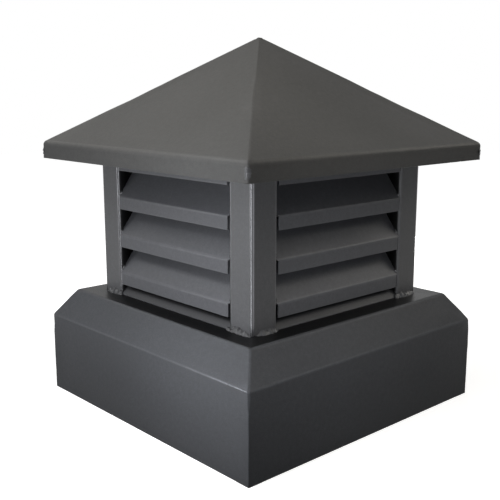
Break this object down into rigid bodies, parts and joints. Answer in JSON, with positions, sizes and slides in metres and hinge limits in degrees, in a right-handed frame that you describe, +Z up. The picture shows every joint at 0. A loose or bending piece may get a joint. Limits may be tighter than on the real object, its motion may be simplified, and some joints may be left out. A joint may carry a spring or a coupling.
{
  "type": "chimney cap",
  "caption": "Square louvred chimney cap: mitred skirt base, folded corner posts, sloping louvre blades and a hipped roof, welded from sheet steel.",
  "frame": {"origin": "centre of the skirt's lower rim, on the axis of the flue", "axes": "+Z up along the flue, the front side towards -Y, +X to the right"},
  "size_m": [0.404, 0.404, 0.472],
  "materials": {
    "base_coat": "satin graphite coat on folded steel",
    "post_coat": "satin graphite coat on folded steel",
    "louvre_coat": "satin graphite coat on folded steel",
    "roof_coat": "satin graphite coat on folded steel"
  },
  "bodies": {
    "root": {"base_panel_front": "base_coat", "base_panel_right": "base_coat", "base_panel_back": "base_coat", "base_panel_left": "base_coat", "corner_post_front_right": "post_coat", "corner_post_back_right": "post_coat", "corner_post_back_left": "post_coat", "corner_post_front_left": "post_coat", "louvre_front_sill": "louvre_coat", "louvre_front_lower": "louvre_coat", "louvre_front_middle": "louvre_coat", "louvre_front_upper": "louvre_coat", "louvre_front_top": "louvre_coat", "louvre_right_sill": "louvre_coat", "louvre_right_lower": "louvre_coat", "louvre_right_middle": "louvre_coat", "louvre_right_upper": "louvre_coat", "louvre_right_top": "louvre_coat", "louvre_back_sill": "louvre_coat", "louvre_back_lower": "louvre_coat", "louvre_back_middle": "louvre_coat", "louvre_back_upper": "louvre_coat", "louvre_back_top": "louvre_coat", "louvre_left_sill": "louvre_coat", "louvre_left_lower": "louvre_coat", "louvre_left_middle": "louvre_coat", "louvre_left_upper": "louvre_coat", "louvre_left_top": "louvre_coat", "roof_panel_front": "roof_coat", "roof_panel_right": "roof_coat", "roof_panel_back": "roof_coat", "roof_panel_left": "roof_coat"}
  },
  "joints": []
}
